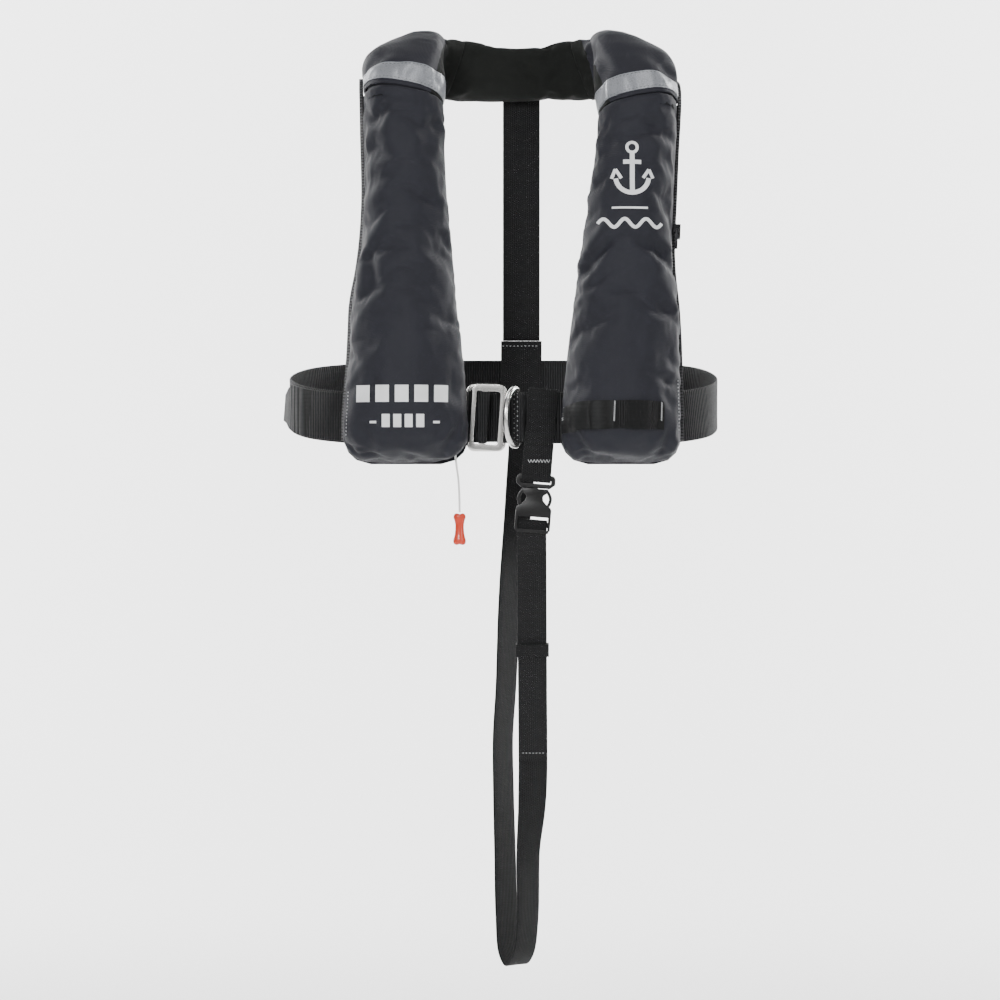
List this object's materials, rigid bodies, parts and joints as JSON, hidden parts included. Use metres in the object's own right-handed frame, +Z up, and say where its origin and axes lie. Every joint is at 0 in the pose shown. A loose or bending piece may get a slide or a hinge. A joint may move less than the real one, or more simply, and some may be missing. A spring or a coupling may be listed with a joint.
{
  "type": "inflatable life jacket",
  "caption": "Horseshoe inflatable life jacket with two fabric lobes, padded collar, waist belt with steel buckle and D-ring, crotch strap, pull toggle and inflator inside.",
  "frame": {"origin": "middle of the collar's neck-side face", "axes": "+X to the wearer's left, +Y to the wearer's back, +Z up"},
  "size_m": [0.4382, 0.2595, 0.9347],
  "materials": {
    "cover_fabric": "navy-charcoal woven nylon, faint sheen",
    "collar_fabric": "matte greenish black cloth",
    "webbing": "black polyester webbing",
    "reflective_tape": "silver-grey reflective tape",
    "black_plastic": "black acetal",
    "steel": "satin stainless steel",
    "bladder_cloth": "coated yellow bladder cloth",
    "orange_plastic": "orange-red plastic",
    "white_cord": "white braided cord",
    "green_plastic": "green indicator plastic"
  },
  "bodies": {
    "root": {"right_back_panel": "cover_fabric", "left_back_panel": "cover_fabric", "right_shoulder_cover": "cover_fabric", "left_shoulder_cover": "cover_fabric", "collar_cover": "collar_fabric", "right_reflective_tape": "reflective_tape", "left_reflective_tape": "reflective_tape", "right_zip": "black_plastic", "left_zip": "black_plastic", "bladder": "bladder_cloth", "inflator_body": "black_plastic", "inflator_manifold": "black_plastic", "lever_pin": "steel", "oral_tube": "black_plastic", "whistle": "orange_plastic", "waist_belt": "webbing", "belt_tail": "webbing", "right_belt_carrier": "webbing", "left_belt_carrier": "webbing", "back_strap": "webbing", "back_strap_loop": "webbing", "buckle_frame": "steel", "frame_webbing": "webbing", "buckle_backing": "webbing", "ring_webbing": "webbing", "crotch_upper_loop": "webbing", "buckle_plug": "black_plastic", "crotch_strap": "webbing"},
    "right_cover": {"right_lobe_cover": "cover_fabric"},
    "left_cover": {"left_lobe_cover": "cover_fabric", "accessory_strip": "webbing"},
    "plate": {"buckle_plate": "steel", "belt_right_end": "webbing"},
    "ring": {"d_ring": "steel"},
    "right_arm": {"plug_right_arm": "black_plastic"},
    "left_arm": {"plug_left_arm": "black_plastic"},
    "socket": {"buckle_socket": "black_plastic", "strap_tail": "webbing"},
    "keeper": {"strap_keeper": "webbing"},
    "pull_handle": {"pull_cord": "white_cord", "pull_toggle": "orange_plastic"},
    "lever": {"firing_lever": "orange_plastic"},
    "cylinder": {"co2_cylinder": "steel"},
    "cartridge_cap": {"auto_cartridge_cap": "green_plastic"},
    "oral_cap": {"oral_tube_cap": "black_plastic"},
    "slider": {"zip_slider": "steel"},
    "pull_tab": {"zip_pull": "steel"}
  },
  "joints": [
    {"name": "right_cover_open", "type": "hinge", "parent": "root", "child": "right_cover", "pos_m": [-0.046, -0.16134, -0.37], "axis": [-0.0776, 0.1783, 0.9809], "range_deg": [0, 50]},
    {"name": "left_cover_open", "type": "hinge", "parent": "root", "child": "left_cover", "pos_m": [0.0357, -0.1617, -0.372], "axis": [-0.1212, -0.1775, -0.9766], "range_deg": [0, 50]},
    {"name": "buckle_plate_lift", "type": "hinge", "parent": "root", "child": "plate", "pos_m": [-0.0506, -0.1477, -0.355], "axis": [0, 0, 1], "range_deg": [-40, 0]},
    {"name": "d_ring_swing", "type": "hinge", "parent": "root", "child": "ring", "pos_m": [-0.0005, -0.1542, -0.355], "axis": [0, 0, 1], "range_deg": [-12, 20]},
    {"name": "socket_release", "type": "slide", "parent": "root", "child": "socket", "axis": [-0.0819, 0, -0.9966], "range_m": [0, 0.022], "deforming": ["crotch_strap"]},
    {"name": "right_arm_squeeze", "type": "hinge", "parent": "root", "child": "right_arm", "pos_m": [0.00581, -0.1482, -0.4238], "axis": [0, 1, 0], "range_deg": [-8.5, 0]},
    {"name": "left_arm_squeeze", "type": "hinge", "parent": "root", "child": "left_arm", "pos_m": [0.02674, -0.1482, -0.42552], "axis": [0, 1, 0], "range_deg": [0, 8.5]},
    {"name": "keeper_slide", "type": "slide", "parent": "socket", "child": "keeper", "axis": [0.0073, 0.2042, -0.9789], "range_m": [-0.05, 0.07]},
    {"name": "toggle_pull", "type": "slide", "parent": "root", "child": "pull_handle", "axis": [0, 0, -1], "range_m": [0, 0.0185]},
    {"name": "lever_swing", "type": "hinge", "parent": "root", "child": "lever", "pos_m": [-0.082, -0.17375, -0.37681], "axis": [0, 0.9839, -0.1788], "range_deg": [0, 50.5]},
    {"name": "cylinder_turn", "type": "hinge", "parent": "root", "child": "cylinder", "pos_m": [-0.112, -0.17921, -0.34533], "axis": [0, 0.1788, 0.9839], "continuous": true},
    {"name": "cartridge_cap_turn", "type": "hinge", "parent": "root", "child": "cartridge_cap", "pos_m": [-0.139, -0.17724, -0.36805], "axis": [1, 0, 0], "continuous": true},
    {"name": "oral_cap_lift", "type": "slide", "parent": "root", "child": "oral_cap", "axis": [0, 0.1788, 0.9839], "range_m": [0, 0.012]},
    {"name": "zip_slider_run", "type": "slide", "parent": "root", "child": "slider", "axis": [0.051, 0.1789, 0.9825], "range_m": [-0.012, 0.012]},
    {"name": "zip_pull_flip", "type": "hinge", "parent": "slider", "child": "pull_tab", "pos_m": [0.15497, -0.13051, -0.17127], "axis": [-0.9987, 0.009, 0.05], "range_deg": [0, 150]}
  ],
  "couplings": [
    {"joint": "right_arm_squeeze", "follows": "socket_release", "rad_per_m": -6.35},
    {"joint": "left_arm_squeeze", "follows": "socket_release", "rad_per_m": 6.35},
    {"joint": "lever_swing", "follows": "toggle_pull", "rad_per_m": 47.171}
  ]
}
